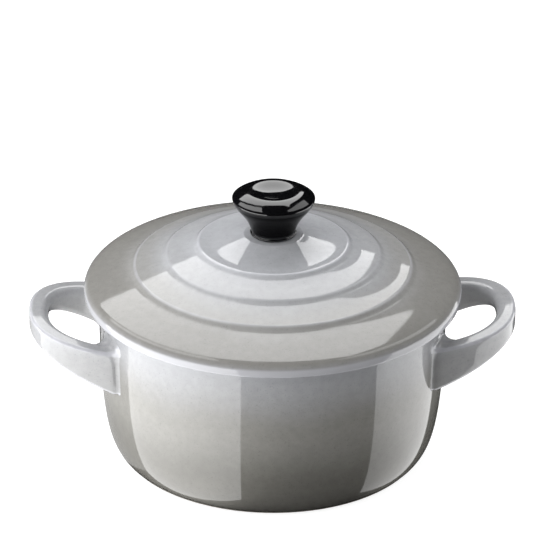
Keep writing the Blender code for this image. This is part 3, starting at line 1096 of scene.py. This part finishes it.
@dataclass
class Studio:
    """The set round the dish: camera, pale floor, dark room, and windows and softboxes as bright cards."""

    azimuth: float = -2.7
    elevation: float = 26.37
    roll: float = 0.54
    distance: float = 1.1
    pixels_per_metre: float = 3500.0
    image_width: int = 540
    sensor_width: float = 36.0
    clip_start: float = 0.05
    clip_end: float = 50.0
    target: Triple = (-0.00085, 0.0, 0.05482)
    floor_size: float = 6.0
    floor_drop: float = 0.0004
    card_drop: float = 0.0001
    flag_drop: float = 0.0002
    flag_size: float = 5.5
    room_radius: float = 5.0
    daylight: float = 0.28
    window_height: float = 0.42
    windows: tuple[Window, ...] = (
        Window("left", ((-0.0121, -0.0485), (-0.121, -0.316), (-0.306, 0.097), (-0.0422, -0.0260)),
               (2.3, 3.3, 4.3, 2.7), 2.5, 0.10),
        Window("right", ((0.0260, -0.0400), (0.317, -0.1475), (0.249, 0.196), (0.0465, -0.0185)),
               (1.2, 3.0, 3.1, 2.0), 1.4, 0.10),
        Window("back left", ((-0.0422, -0.0260), (-0.306, 0.097), (-0.260, 0.450), (-0.0455, 0.0200)),
               (0.55, 0.55, 0.55, 0.55), 1.7, 0.05),
    )
    softboxes: tuple[Softbox, ...] = (
        Softbox("softbox", ((-0.53, -0.25), (-0.40, -0.26), (0.0, -0.30), (0.375, -0.45), (0.378, 0.0),
                            (0.375, 0.50), (-0.24, 0.50), (-0.385, 0.37), (-0.487, 0.155), (-0.53, -0.085)),
                3.25, 3.7),
        Softbox("left wing", ((-0.27, 0.56), (-0.42, 0.42), (-0.535, 0.187), (-0.575, -0.08), (-0.80, -0.05),
                              (-0.80, 0.34), (-0.67, 0.72), (-0.40, 0.96)), 2.3, 0.0),
        Softbox("right wing", ((0.39, 0.72), (0.465, 0.483), (0.535, 0.19), (0.575, -0.08), (0.80, -0.05),
                               (0.80, 0.34), (0.67, 0.72), (0.50, 0.88)), 1.4, 0.0),
    )
    softbox_distance: float = 1.2
    softbox_rise: float = 50.0
    floor_glow: float = 0.88
    floor_colour: Colour = (0.36, 0.36, 0.36)

    def set_camera(self) -> None:
        """Put the camera where the photograph was taken from."""
        heading, rise, tilt = (math.radians(angle) for angle in (self.azimuth, self.elevation, self.roll))
        data = bpy.data.cameras.new("camera")
        data.sensor_width = self.sensor_width
        data.lens = self.pixels_per_metre * self.distance / self.image_width * self.sensor_width
        data.clip_start = self.clip_start
        data.clip_end = self.clip_end
        camera = bpy.data.objects.new("camera", data)
        bpy.context.collection.objects.link(camera)
        aim = Matrix.Rotation(heading, 4, "Z") @ Matrix.Rotation(math.pi / 2 - rise, 4, "X")
        back = Matrix.Translation((0.0, 0.0, self.distance))
        camera.matrix_world = Matrix.Translation(self.target) @ aim @ Matrix.Rotation(tilt, 4, "Z") @ back
        bpy.context.scene.camera = camera

    @staticmethod
    def glow(name: str) -> bpy.types.Material:
        """A material that gives off the light marked on its points, and none where nothing is marked.

        Args:
            name: Name of the material.

        Returns:
            The material.
        """
        paint = Paint(bpy.data.materials.new(name))
        paint.tree.nodes.remove(paint.shader)
        emission = paint.add("Emission", Strength=paint.marked(CARD_LIGHT))
        paint.feed(emission.outputs["Emission"], paint.tree.nodes["Material Output"].inputs["Surface"])
        return paint.owner

    def lay_floor(self) -> None:
        """The pale floor: it shows almost white, and keeps a faint shadow of the dish."""
        bpy.ops.mesh.primitive_plane_add(size=self.floor_size, location=(0.0, 0.0, -self.floor_drop))
        floor = bpy.context.object
        floor.name = "floor"
        paint = Paint(bpy.data.materials.new("pale_floor"))
        glow = paint.calc("MULTIPLY", paint.looking(), self.floor_glow)
        matt = paint.dress(Base_Color=self.floor_colour, Roughness=1.0, Specular_IOR_Level=0.0,
                           Emission_Color=WHITE, Emission_Strength=glow)
        floor.data.materials.append(matt)

    def set_world(self) -> None:
        """A white surround for the eye, and an even, lower daylight for the surfaces."""
        paint = Paint(bpy.data.worlds.new("surround"), "Background")
        level = paint.spread(paint.looking(), SHARE, (self.daylight, 1.0))
        bpy.context.scene.world = paint.dress(Color=WHITE, Strength=level)

    @staticmethod
    def show_to(seen: Seen, thing: Item) -> None:
        """Hide a thing of the studio from all but the rays that may see it.

        Args:
            seen: What may see it.
            thing: A card, cloth or wall.
        """
        thing.visible_camera = False
        thing.visible_glossy = seen is Seen.MIRRORED
        thing.visible_diffuse = seen is Seen.LIGHTING
        thing.visible_transmission = False
        thing.visible_volume_scatter = False
        thing.visible_shadow = False

    def set_flags(self) -> None:
        """The dark studio that the dish mirrors: black cloth on the floor and dark walls all round."""
        black = self.glow("black_cloth")
        bpy.ops.mesh.primitive_plane_add(size=self.flag_size, location=(0.0, 0.0, -self.flag_drop))
        cloth = bpy.context.object
        cloth.name = "floor_flag"
        bpy.ops.mesh.primitive_uv_sphere_add(radius=self.room_radius)
        room = bpy.context.object
        room.name = "dark_room"
        for flag in (cloth, room):
            flag.data.materials.append(black)
            self.show_to(Seen.MIRRORED, flag)

    def set_card(self, name: str, corners: list[Vector], seen: Seen, strengths: tuple[float, ...]) -> None:
        """A bright card.

        Args:
            name: Name of the card.
            corners: Its corners in order.
            seen: What sees it.
            strengths: How bright it is at its corners.
        """
        bpy.ops.mesh.primitive_circle_add(vertices=len(corners), fill_type="NGON")
        card = bpy.context.object
        card.name = f"{name} {seen.value}"
        light = card.data.attributes.new(CARD_LIGHT, "FLOAT", "POINT")
        for index, corner, strength in zip(card.data.polygons[0].vertices, corners, strengths):
            card.data.vertices[index].co = corner
            light.data[index].value = strength
        card.data.materials.append(self.glow(card.name))
        self.show_to(seen, card)

    def set_window(self, window: Window) -> None:
        """A window and the lit table before it, each twice in one place: mirrored, and lighting the dish.

        Args:
            window: The window.
        """
        table = [Vector((*corner, -self.card_drop)) for corner in window.table]
        near, far = table[1:3]
        for seen, height, strengths in (
            (Seen.MIRRORED, window.pane_height, window.mirrored),
            (Seen.LIGHTING, self.window_height, (window.lighting,) * len(table)),
        ):
            self.set_card(f"{window.name} table", table, seen, strengths)
            rise = Vector((0.0, 0.0, height))
            pane = [near, far, far + rise, near + rise]
            foot = strengths[1:3]
            self.set_card(f"{window.name} pane", pane, seen, foot + foot[::-1])

    def set_cards(self) -> None:
        """The bright things round the dish: the windows and the softboxes."""
        for window in self.windows:
            self.set_window(window)
        tilt = math.radians(self.softbox_rise)
        out = Vector((0.0, math.cos(tilt), math.sin(tilt)))
        up = Vector((0.0, -math.sin(tilt), math.cos(tilt)))
        across = Vector((1.0, 0.0, 0.0))
        for box in self.softboxes:
            corners = [self.softbox_distance * (out + across * u + up * v) for u, v in box.outline]
            for seen, strength in ((Seen.MIRRORED, box.mirrored), (Seen.LIGHTING, box.lighting)):
                if strength:
                    self.set_card(box.name, corners, seen, (strength,) * len(corners))

    def build(self) -> None:
        """Set up the studio."""
        bpy.context.scene.view_settings.view_transform = "Standard"
        self.set_camera()
        self.lay_floor()
        self.set_world()
        self.set_flags()
        self.set_cards()


POT_GLAZE = GlazeFinish(
    "pot_ombre_glaze",
    Run.UP,
    (
        (0.000, (0.125, 0.121, 0.110)),
        (0.010, (0.150, 0.146, 0.132)),
        (0.028, (0.250, 0.245, 0.228)),
        (0.046, (0.360, 0.365, 0.380)),
    ),
    dull_bend=300.0,
)
HANDLE_GLAZE_AND_SHADE = GlazeFinish(
    "handle_glaze_painted_shade",
    Run.UP,
    # Darker lower down: the glaze's own ombré, made deeper as painted shade for the handles' shadowed lower and
    # inner faces.
    (
        (0.025, (0.280, 0.280, 0.275)),
        (0.034, (0.330, 0.331, 0.334)),
        (0.044, (0.365, 0.369, 0.380)),
    ),
    dull_bend=350.0,
)
LID_GLAZE = GlazeFinish(
    "lid_ombre_glaze",
    Run.OUT,
    (
        (0.018, (0.440, 0.449, 0.472)),
        (0.030, (0.395, 0.400, 0.413)),
        (0.038, (0.330, 0.328, 0.322)),
        (0.046, (0.252, 0.247, 0.234)),
        (0.054, (0.230, 0.225, 0.212)),
    ),
    dull_bend=200.0,
    sharp_bend=900.0,
    # Pale skirt on the lid's lower edge: thin glaze and a painted reflection of the bright floor.
    skirt_level=0.0503,
)


def main() -> None:
    """Build the dish and the studio round it."""
    logging.basicConfig(level=logging.INFO, format="%(name)s: %(message)s")
    pot_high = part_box("pot_body")[1]
    pot = Pot(radius=pot_high.x, height=pot_high.z, glaze=POT_GLAZE)
    Handles(pot, HANDLE_GLAZE_AND_SHADE).build(pot.build())
    lid_low, lid_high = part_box("lid")
    Lid(radius=lid_high.x, flange_bottom=lid_low.z, crown_top=lid_high.z, glaze=LID_GLAZE).build()
    Knob(seat=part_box("knob")[0].z, finish=PhenolicFinish()).build()
    dress_fixing()
    Studio().build()


if __name__ == "__main__":
    main()
